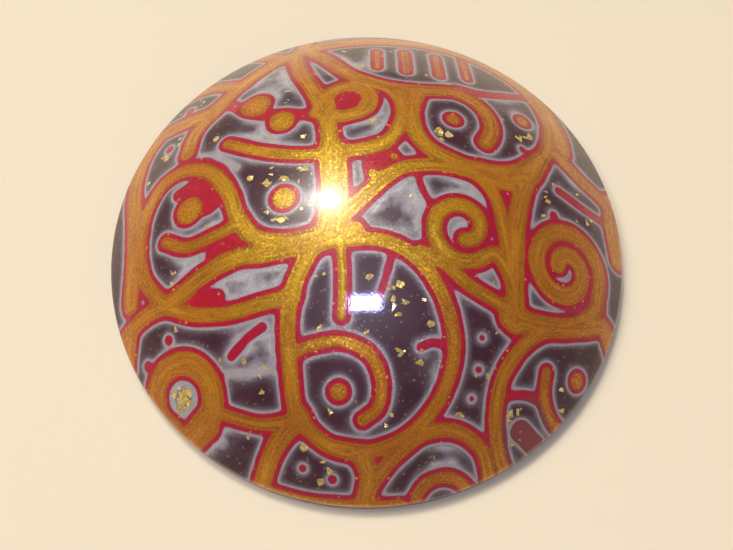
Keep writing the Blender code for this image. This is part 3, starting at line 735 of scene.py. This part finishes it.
def new_material(name):
    """A new material, its tree, its Principled shader and the object's place in millimetres."""
    material = bpy.data.materials.new(name)
    material.use_nodes = True
    tree = material.node_tree
    place = scaled(tree, add_node(tree, "TexCoord").outputs["Object"], 1 / MM)
    return material, tree, tree.nodes["Principled BSDF"], place


def attribute(tree, name):
    """A point attribute of the mesh, as a number."""
    return add_node(tree, "Attribute", {"attribute_name": name}).outputs["Fac"]


def ramp(tree, value, stops):
    """A colour ramp; stops are (position, colour)."""
    made = add_node(tree, "ValToRGB", Fac=value)
    elements = made.color_ramp.elements
    elements[0].position, elements[0].color = stops[0][0], (*stops[0][1], 1.0)
    elements[1].position, elements[1].color = stops[-1][0], (*stops[-1][1], 1.0)
    for position, colour in stops[1:-1]:
        element = elements.new(position)
        element.color = (*colour, 1.0)
    return made.outputs["Color"]


def remap(tree, value, low, high, to_low=0.0, to_high=1.0):
    """Maps a range of numbers to another, from 0 to 1 unless given, and clamps it."""
    made = add_node(tree, "MapRange", {"clamp": True}, Value=value)
    for index, number in enumerate((low, high, to_low, to_high), start=1):
        made.inputs[index].default_value = number
    return made.outputs["Result"]


def mix_colour(tree, share, first, second):
    """A mix of two colours, each an output or red, green and blue."""
    made = add_node(tree, "Mix", {"data_type": "RGBA"})
    plug(tree, made.inputs[0], share)
    for socket, colour in ((made.inputs[6], first), (made.inputs[7], second)):
        plug(tree, socket, (*colour, 1.0) if isinstance(colour, tuple) else colour)
    return made.outputs[2]


def leaning(tree, normal, lean):
    """A normal, tilted by a vector."""
    return vector_maths(tree, "NORMALIZE", vector_maths(tree, "ADD", normal, lean))


def flaked_normal(tree, place, size, tilt, share=1.0):
    """The surface normal, tilted at random in small cells as mica flakes are; share of 0 to 1."""
    cells = add_node(tree, "TexVoronoi", Vector=place, Scale=1 / size)
    centred = vector_maths(tree, "SUBTRACT", cells.outputs["Color"], (0.5, 0.5, 0.5))
    lean = scaled(tree, centred, maths(tree, "MULTIPLY", share, tilt))
    return leaning(tree, add_node(tree, "NewGeometry").outputs["Normal"], lean)


def cell_shade(tree, place, scale, channel):
    """A random number in each small cell, from one of three channels."""
    cells = add_node(tree, "TexVoronoi", Vector=place, Scale=scale)
    parts = add_node(tree, "SeparateColor", Color=cells.outputs["Color"])
    return parts.outputs[channel]


def noise(tree, place, scale, detail=2.0, rough=0.5):
    """Plain noise of the given scale, in features per millimetre."""
    made = add_node(tree, "TexNoise", Vector=place, Scale=scale, Detail=detail, Roughness=rough)
    return made.outputs["Fac"]


def combed(tree, place, field, across, along):
    """Noise drawn out along the bands: features per millimetre across and along them."""
    made = add_node(tree, "TexNoise", {"noise_dimensions": "4D"}, Vector=place,
                    W=maths(tree, "MULTIPLY", field, across / along), Scale=along, Detail=2.5,
                    Roughness=0.55)
    return made.outputs["Fac"]


def bumped(tree, height, strength, distance):
    """The normal of a bump of the given depth in metres."""
    bump = add_node(tree, "Bump", Strength=strength, Distance=distance, Height=height)
    return bump.outputs["Normal"]


def polished(tree, place, lines=None):
    """The coat's normal: not quite even from sanding by hand, with fine marks."""
    marks = noise(tree, place, 4.5)
    if lines is not None:
        marks = maths(tree, "ADD", marks, maths(tree, "MULTIPLY", lines, 1.6))
    return bumped(tree, marks, 1.0, POLISH_BUMP)


def coated(tree, shader, place, flakes, lines=None, gloss=COAT_ROUGHNESS, **inputs):
    """Fills the shader: mica flakes of a size, tilt and share, under a polished clear coat."""
    feed(tree, shader, Normal=flaked_normal(tree, place, *flakes), Coat_Weight=1.0,
         Coat_Roughness=gloss, Coat_Normal=polished(tree, place, lines), **inputs)


def tinted(tree, colour, tints):
    """A colour with tints mixed in, one after the other; tints are (share, colour)."""
    for share, tint in tints:
        colour = mix_colour(tree, share, colour, tint)
    return colour


def gold_material(name, combing):
    """Gold mica clay: streaks along the bands where it was combed, mica glitter, a clear coat."""
    material, tree, shader, place = new_material(name)
    field = attribute(tree, "field")
    streaks = combed(tree, place, field, 4.5, 0.22)
    off_line = maths(tree, "SUBTRACT", combed(tree, place, field, 2.0, 0.16), 0.5)
    crease = remap(tree, maths(tree, "ABSOLUTE", off_line), 0.0, 0.020, 1.0, 0.0)
    grain = noise(tree, place, 5.5, 3.0, 0.7)
    middle = remap(tree, field, GOLD_EDGE, 0.45)
    tone = maths(tree, "ADD", maths(tree, "MULTIPLY", streaks, 0.60 * combing),
                 maths(tree, "MULTIPLY", grain, 0.85 - 0.60 * combing))
    tone = maths(tree, "ADD", tone, maths(tree, "MULTIPLY", middle, 0.12))
    # Painted light: the gold is painted yellow round the key light's highlight by the hub, orange
    # further out, and a painted duller brown towards the rim, where the mica's sheen falls off.
    orange = ramp(tree, tone, [
        (0.34, (0.35, 0.105, 0.009)),
        (0.46, (0.54, 0.172, 0.008)),
        (0.56, (0.67, 0.250, 0.012)),
        (0.70, (0.90, 0.450, 0.034)),
    ])
    yellow = ramp(tree, tone, [
        (0.34, (0.31, 0.140, 0.006)),
        (0.46, (0.46, 0.240, 0.008)),
        (0.56, (0.58, 0.335, 0.010)),
        (0.70, (0.82, 0.560, 0.034)),
    ])
    # Distance from the key light's highlight, which sets the painted sheen of the gold.
    from_key_sheen = vector_maths(tree, "DISTANCE", place, KEY_SHEEN_PLACE)
    glint = remap(tree, cell_shade(tree, place, 8.5, 1), 0.84, 0.99)
    colour = tinted(tree, yellow, [
        (remap(tree, from_key_sheen, 6.0, 14.5), orange),
        (remap(tree, from_key_sheen, 13.0, 25.0, 0.0, 0.35), (0.44, 0.130, 0.020)),
        (maths(tree, "MULTIPLY", crease, 0.42 * combing), (0.14, 0.050, 0.010)),
        (maths(tree, "MULTIPLY", glint, 0.45), (0.95, 0.76, 0.20)),
    ])
    coated(tree, shader, place, (0.11, 0.45, streaks), streaks, 0.035, Base_Color=colour,
           Metallic=remap(tree, glint, 0.0, 1.0, 0.50, 0.95),
           Roughness=remap(tree, streaks, 0.3, 0.7, 0.50, 0.36))
    return material


def red_material():
    """Crimson clay under the coat, a little darker where it meets the pearl."""
    material, tree, shader, place = new_material("crimson_clay")
    across = remap(tree, attribute(tree, "field"), GOLD_EDGE, RED_EDGE)
    colour = ramp(tree, across, [
        (0.0, (0.42, 0.042, 0.011)),
        (0.2, (0.44, 0.005, 0.020)),
        (0.8, (0.37, 0.005, 0.046)),
        (1.0, (0.30, 0.028, 0.088)),
    ])
    # By the lower right rim the crimson is so thin that the ground dulls it.
    from_thin = vector_maths(tree, "DISTANCE", place, THIN_RED_PLACE)
    colour = tinted(tree, colour, [
        (remap(tree, noise(tree, place, 1.6, 3.0), 0.35, 0.65, 0.0, 0.45), (0.30, 0.004, 0.018)),
        (remap(tree, from_thin, 2.2, 3.4, 0.8, 0.0), (0.165, 0.050, 0.052)),
        # Painted glints: a few tiny random cells painted orange, as flakes that catch the light.
        (remap(tree, cell_shade(tree, place, 5.0, 0), 0.985, 0.998, 0.0, 0.6), (0.85, 0.42, 0.10)),
    ])
    coated(tree, shader, place, (0.14, 0.18), Base_Color=colour, Metallic=0.12, Roughness=0.42)
    return material


def pearl_material():
    """Pearl-grey mica clay, darker at its edge where it thins out over the dark ground."""
    material, tree, shader, place = new_material("pearl_clay")
    across = remap(tree, attribute(tree, "field"), RED_EDGE, PEARL_EDGE)
    thin = ramp(tree, across, [
        (0.0, (0.36, 0.19, 0.24)),
        (0.2, (0.42, 0.375, 0.385)),
        (0.55, (0.33, 0.290, 0.31)),
        (1.0, PEARL_EDGE_COLOUR),
    ])
    broad = ramp(tree, across, [
        (0.0, (0.38, 0.22, 0.26)),
        (0.25, (0.44, 0.410, 0.42)),
        (1.0, PEARL_COLOUR),
    ])
    colour = mix_colour(tree, attribute(tree, "milky"), thin, broad)
    shade = remap(tree, noise(tree, place, 1.1, 4.0, 0.6), 0.3, 0.7, 0.0, 0.4)
    colour = mix_colour(tree, shade, colour, (0.20, 0.175, 0.20))
    coated(tree, shader, place, (0.11, 0.30), Base_Color=colour, Metallic=0.18, Roughness=0.40)
    return material


def ground_material():
    """Purple-black clay that the pearl layer fades into, with small dull flakes."""
    material, tree, shader, place = new_material("dark_ground_clay")
    haze = attribute(tree, "haze")
    cloud = remap(tree, noise(tree, place, 0.8), 0.25, 0.75, 0.60, 1.40)
    veil = maths(tree, "MINIMUM", maths(tree, "MULTIPLY", haze, cloud), 1.0)
    patchy = remap(tree, noise(tree, place, 0.5, 3.0), 0.35, 0.65)
    dark = mix_colour(tree, patchy, DARK_COLOUR, (0.056, 0.018, 0.026))
    middle = mix_colour(tree, 0.5, dark, (0.15, 0.125, 0.17))
    low = mix_colour(tree, remap(tree, veil, 0.0, 0.5), dark, middle)
    pale = mix_colour(tree, attribute(tree, "milky"), PEARL_EDGE_COLOUR, PEARL_COLOUR)
    colour = mix_colour(tree, remap(tree, veil, 0.4, 1.0), low, pale)
    glint = remap(tree, cell_shade(tree, place, 6.0, 2), 0.95, 0.99, 0.0, 0.22)
    colour = mix_colour(tree, glint, colour, (0.55, 0.42, 0.24))
    coated(tree, shader, place, (0.12, 0.25, veil), Base_Color=colour, Roughness=0.42,
           Metallic=remap(tree, veil, 0.0, 1.0, 0.0, 0.18))
    return material


def leaf_material():
    """Crumpled metal leaf under the coat; each fleck has its own shade and tilt, the shade running
    from dull, where clay covers the fleck, to a painted bright glint.
    """
    material, tree, shader, place = new_material("metal_leaf")
    shade = attribute(tree, "shade")
    worn = remap(tree, noise(tree, place, 4.0, 3.0), 0.3, 0.7, -0.25, 0.25)
    # The flecks' colour runs from dull tan, where clay covers them, to pale bright gold painted as
    # the glint of flecks that catch the light.
    colour = ramp(tree, maths(tree, "ADD", shade, worn), [
        (0.0, (0.34, 0.23, 0.10)),
        (0.35, (0.62, 0.46, 0.16)),
        (0.7, (0.95, 0.70, 0.16)),
        (1.0, (1.0, 0.88, 0.42)),
    ])
    tilt = add_node(tree, "CombineXYZ", X=attribute(tree, "tilt_x"),
                    Y=attribute(tree, "tilt_y")).outputs["Vector"]
    normal = leaning(tree, flaked_normal(tree, place, 0.16, 0.5), tilt)
    feed(tree, shader, Base_Color=colour, Metallic=remap(tree, shade, 0.2, 0.8, 0.15, 0.75),
         Roughness=0.30, Coat_Weight=1.0, Coat_Roughness=COAT_ROUGHNESS, Normal=normal)
    return material


def backing_material():
    """Sanded dark clay: fine crossed scratches and a little dust in them."""
    material, tree, shader, place = new_material("sanded_backing")
    scratches = []
    for angle in (20.0, 75.0):
        turned = add_node(tree, "Mapping", Vector=place,
                          Rotation=(0.0, 0.0, radians(angle)), Scale=(0.25, 6.0, 1.0))
        scratches.append(noise(tree, turned.outputs["Vector"], 1.4, 3.0))
    marks = maths(tree, "MINIMUM", *scratches)
    colour = ramp(tree, marks, [
        (0.25, (0.012, 0.008, 0.009)),
        (0.45, (0.022, 0.016, 0.017)),
        (0.60, (0.055, 0.045, 0.045)),
    ])
    speckle = remap(tree, noise(tree, place, 3.0, 4.0), 0.55, 0.75, 0.0, 0.5)
    colour = mix_colour(tree, speckle, colour, (0.045, 0.030, 0.028))
    feed(tree, shader, Base_Color=colour, Roughness=remap(tree, marks, 0.3, 0.6, 0.42, 0.62),
         Normal=bumped(tree, marks, 0.35, 0.02 * MM), Coat_Weight=0.15, Coat_Roughness=0.3)
    return material


def core_material():
    """Plain baked clay in mixed greys, inside the dome."""
    material, tree, shader, place = new_material("core_clay")
    colour = ramp(tree, noise(tree, place, 0.8, 4.0), [
        (0.3, (0.07, 0.06, 0.065)),
        (0.7, (0.14, 0.125, 0.12)),
    ])
    feed(tree, shader, Base_Color=colour, Roughness=0.65,
         Normal=bumped(tree, noise(tree, place, 4.0, 3.0), 0.3, 0.05 * MM))
    return material


# ---- pieces

def haze_over(values):
    """How strongly pearl veils the dark ground at each point, and how milky the place is."""
    points = values[:, :2]
    reach = np.full(len(points), SHORT_FADE)
    for x, y, radius, length in MILKY_PLACES:
        near = np.exp(-((points[:, 0] - x) ** 2 + (points[:, 1] - y) ** 2) / radius ** 2)
        reach = np.maximum(reach, length * near)
    reach = reach * (1 + 0.35 * ripple(points, 3.4, 21))
    outside = np.clip(values[:, PEARL_COLUMN], 0.0, None)
    milky = np.clip((reach - MILKY_FROM) / (MILKY_FULL - MILKY_FROM), 0.0, 1.0)
    return np.exp(-outside / np.maximum(reach, 0.05)), milky


def put_on_frame(piece, material, slot, *nodes):
    """Gives a piece its material, and lets it stand for its CAD nodes."""
    piece.data.materials.append(material)
    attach(piece, "root")
    if nodes:
        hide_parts(*nodes)


def named_components(triangles, values, layer):
    """The layer's separate parts: for each name, which triangles and which CAD nodes it has.

    An imprint whose part stands alone gets its own name. One that runs into the network,
    or that is too small to show, belongs to the network.
    """
    label = components(triangles, len(values))
    used = np.unique(triangles)
    network = next(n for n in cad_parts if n.startswith(layer) and n.endswith("network"))
    hub = np.array(NETWORK_STROKES[0][2][1])
    hub_label = label[used[np.argmin(np.hypot(*(values[used, :2] - hub).T))]]
    own = {}
    network_nodes = {network}
    for imprint, _, _, path in IMPRINTS:
        node = f"{imprint}_{layer}"
        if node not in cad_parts:
            continue
        gaps = np.hypot(*(values[used, :2] - np.array(path[len(path) // 2])).T)
        here = label[used[np.argmin(gaps)]]
        if gaps.min() > IMPRINT_REACH or here == hub_label:
            network_nodes.add(node)
        else:
            own.setdefault(here, []).append(node)
    part_of = label[triangles[:, 0]]
    parts = {nodes[0]: (part_of == here, nodes) for here, nodes in own.items()}
    parts[network] = (~np.isin(part_of, sorted(own)), network_nodes)
    return parts


def add_layer(values, triangles, layer, column, inner_column, material, slot):
    """All solids of one layer, each standing for its CAD nodes; returns them."""
    inside = np.all(values[triangles][:, :, column] <= ON_EDGE, axis=1)
    inside &= values[triangles][:, :, column].mean(1) < 0
    chosen = triangles[inside]
    pieces = []
    for name, (part, nodes) in named_components(chosen, values, layer).items():
        piece = layer_solid(name + "_fine", values, chosen[part], column, inner_column)
        put_on_frame(piece, material, slot, *sorted(nodes))
        pieces.append(piece)
    return pieces


def fleck_outline(draw, size):
    """A ragged outline of a torn fleck round its middle."""
    corners = int(draw.integers(5, 9))
    angles = np.sort(draw.uniform(0, 2 * pi, corners))
    reach = size * draw.uniform(0.55, 1.0, corners)
    stretch = draw.uniform(0.55, 1.0)
    turn = draw.uniform(0, pi)
    x, y = reach * np.cos(angles), reach * np.sin(angles) * stretch
    return np.column_stack([x * cos(turn) - y * sin(turn), x * sin(turn) + y * cos(turn)])


def leaf_places(draw):
    """Middles of the flecks: the clusters, and some scattered over the sheet."""
    places = []
    for x, y, spread, count in LEAF_CLUSTERS:
        places += list(draw.normal((x, y), spread, (count, 2)))
    angle = draw.uniform(0, 2 * pi, SCATTERED_LEAF)
    radius = (SHEET_RADIUS - 1.0) * np.sqrt(draw.uniform(0, 1, SCATTERED_LEAF))
    places += list(np.column_stack([radius * np.cos(angle), radius * np.sin(angle)]))
    return np.array(places)


def leaf_flecks():
    """Thin flecks of metal leaf, flush with the dark ground and the pearl."""
    draw = np.random.default_rng(LEAF_SEED)
    middles = leaf_places(draw)
    field = pattern_field(middles)
    off_bands = field > PEARL_EDGE - LEAF_START_OVERLAP
    middles = middles[off_bands & (np.hypot(*middles.T) < SHEET_RADIUS - LEAF_RIM_GAP)]
    rings, looks = [], []
    for middle in middles:
        outline = middle + fleck_outline(draw, draw.uniform(*LEAF_SIZES))
        rings.append(np.vstack([middle, outline]))
        looks.append((draw.beta(1.6, 1.5), draw.normal(0, LEAF_TILT), draw.normal(0, LEAF_TILT)))
    ends = np.cumsum([len(ring) for ring in rings])
    fields = np.split(pattern_field(np.vstack(rings)), ends[:-1])
    places, faces, carried = [], [], []
    for ring, look, field in zip(rings, looks, fields):
        if field.min() <= PEARL_EDGE - LEAF_OVERLAP:
            continue
        start, count = len(places), len(ring) - 1
        under = start + count + 1
        places += list(on_dome(ring, -LEAF_RISE)) + list(on_dome(ring, LEAF_DEPTH))
        carried += [look] * (2 * len(ring))
        for i in range(count):
            j = (i + 1) % count
            a, b, c, d = start + 1 + i, start + 1 + j, under + 1 + i, under + 1 + j
            faces += [(start, a, b), (under, d, c), (a, c, d), (a, d, b)]
    attributes = dict(zip(("shade", "tilt_x", "tilt_y"), np.array(carried).T))
    return build_object("metal_leaf_flecks", np.array(places), np.array(faces), attributes)


def backing_solid():
    """The backing disc, its edges rounded and a little uneven from sanding."""
    outer = RADIUS - BACKING_INSET
    top_edge, low_edge = 0.16, 0.24
    turns = [pi / 2 * i / 5 for i in range(6)]
    profile = [(0.0, BACKING_TOP), (outer * 0.5, BACKING_TOP)]
    profile += [(outer - top_edge + top_edge * sin(turn),
                 BACKING_TOP - top_edge + top_edge * cos(turn)) for turn in turns]
    profile += [(outer - low_edge + low_edge * cos(turn),
                 low_edge - low_edge * sin(turn)) for turn in turns]
    profile += [(outer * 0.5, 0.0), (0.0, 0.0)]
    return turned_solid("backing_disc_fine", profile, BACKING_SEGMENTS, 0.04)


# ---- stage, light and camera

CAMERA_ELEVATION = radians(67.2)
TO_CAMERA = Vector((0.0, -cos(CAMERA_ELEVATION), sin(CAMERA_ELEVATION)))
CAMERA_DISTANCE = 112.0
CAMERA_TARGET = (0.0, -1.55, 0.0)
LENS = 62.1
KEY_POINT = (-3.05, 0.60)
KEY_COLOUR = (1.0, 0.93, 0.80)
OVERHEAD_POINT = (-0.05, -8.3)
FLOOR_GAP = 0.02 * MM


def add_camera():
    """The camera, looking along +Y and down at the dome."""
    data = bpy.data.cameras.new("camera")
    data.lens = LENS
    data.sensor_width = 36.0
    data.clip_start = 0.001
    camera = linked_object("camera", data)
    camera.location = (Vector(CAMERA_TARGET) + TO_CAMERA * CAMERA_DISTANCE) * MM
    camera.rotation_mode = "QUATERNION"
    camera.rotation_quaternion = (-TO_CAMERA).to_track_quat("-Z", "Y")
    bpy.context.scene.camera = camera
    return camera


def add_lamp(name, direction, distance, size, power, colour, shown_in_gloss=True):
    """An area lamp of a width and a depth that shines at the dome from a direction."""
    data = bpy.data.lights.new(name, "AREA")
    data.shape = "RECTANGLE"
    data.size, data.size_y = size
    data.energy = power
    data.color = colour
    lamp = linked_object(name, data)
    toward = Vector(direction).normalized()
    lamp.location = toward * distance
    sideways = (Vector((1.0, 0.0, 0.0)) - toward * toward.x).normalized()
    axes = Matrix((sideways, toward.cross(sideways), toward)).transposed()
    lamp.rotation_mode = "QUATERNION"
    lamp.rotation_quaternion = axes.to_quaternion()
    lamp.visible_glossy = shown_in_gloss


def highlight_direction(camera, point):
    """Where a lamp stands for its highlight to show at a sheet point."""
    sheet = np.array([point], float)
    place = Vector(on_dome(sheet)[0])
    normal = Vector(surface_normals(sheet)[0])
    view = (camera.location - place).normalized()
    return 2 * view.dot(normal) * normal - view


def add_lights(camera):
    """A small cool lamp overhead and wide soft fills; the warm key is in the world."""
    overhead = highlight_direction(camera, OVERHEAD_POINT)
    add_lamp("overhead", overhead, 0.600, (0.104, 0.048), 0.75, (0.90, 0.93, 1.0))
    add_lamp("overhead_glow", overhead, 0.602, (0.126, 0.072), 0.26, (0.20, 0.22, 1.0))
    add_lamp("wide", (-0.5, 0.25, 0.85), 0.9, (0.5, 0.5), 4.6, (1.0, 0.94, 0.82), False)
    add_lamp("front", (0.35, -0.75, 0.55), 0.9, (0.6, 0.6), 0.7, (1.0, 0.94, 0.86), False)


def glow(tree, direction, toward, width, strength):
    """A round glow in the world, brightest towards one direction; the width is in radians."""
    off = maths(tree, "SUBTRACT", vector_maths(tree, "DOT_PRODUCT", direction, toward), 1.0)
    falling = maths(tree, "EXPONENT", maths(tree, "MULTIPLY", off, 2 / width ** 2))
    return maths(tree, "MULTIPLY", falling, strength)


def add_world(camera):
    """A dim room, paler towards the horizon, with the key light as a soft glow."""
    world = bpy.data.worlds.new("room")
    bpy.context.scene.world = world
    world.use_nodes = True
    tree = world.node_tree
    direction = add_node(tree, "TexCoord").outputs["Generated"]
    height = add_node(tree, "SeparateXYZ", Vector=direction).outputs["Z"]
    colour = ramp(tree, height, [
        (0.0, (0.38, 0.310, 0.25)),
        (0.25, (0.18, 0.140, 0.140)),
        (0.7, (0.070, 0.050, 0.064)),
        (1.0, (0.060, 0.044, 0.058)),
    ])
    key = highlight_direction(camera, KEY_POINT)
    key_core = glow(tree, direction, key, 0.066, 40.0)
    key_halo = glow(tree, direction, key, 0.180, 10.5)
    warm = scaled(tree, KEY_COLOUR, maths(tree, "ADD", key_core, key_halo))
    feed(tree, tree.nodes["Background"], Color=vector_maths(tree, "ADD", colour, warm))


def add_floor():
    """A plain pale tabletop."""
    bpy.ops.mesh.primitive_plane_add(size=1.2, location=(0.0, 0.0, -FLOOR_GAP))
    floor = bpy.context.object
    floor.name = "floor"
    material, tree, shader, _ = new_material("pale_floor")
    feed(tree, shader, Base_Color=(0.74, 0.66, 0.50, 1.0), Roughness=0.6)
    floor.data.materials.append(material)


def main():
    """Builds every layer, then the stage, the light and the camera."""
    values, triangles = make_net()
    ground = ground_solid(values, triangles)
    put_on_frame(ground, ground_material(), "dark_ground", "dark_ground_layer")
    add_layer(values, triangles, PEARL, PEARL_COLUMN, RED_COLUMN, pearl_material(), "pearl_grey")
    add_layer(values, triangles, RED, RED_COLUMN, GOLD_COLUMN, red_material(), "crimson")
    combed_gold = gold_material("gold_mica", 1.0)
    dotted_gold = gold_material("gold_mica_dots", 0.0)
    for piece in add_layer(values, triangles, GOLD, GOLD_COLUMN, None, combed_gold, "gold_mica"):
        if "dot" in piece.name or "speck" in piece.name:
            piece.data.materials[0] = dotted_gold
    put_on_frame(leaf_flecks(), leaf_material(), "gold_mica")
    put_on_frame(backing_solid(), backing_material(), "backing", "backing_disc")
    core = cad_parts["dome_core"]
    core.data.materials.clear()
    core.data.materials.append(core_material())
    add_floor()
    camera = add_camera()
    add_world(camera)
    add_lights(camera)
    bpy.context.scene.view_settings.view_transform = "Standard"


main()
bpy.context.view_layer.update()
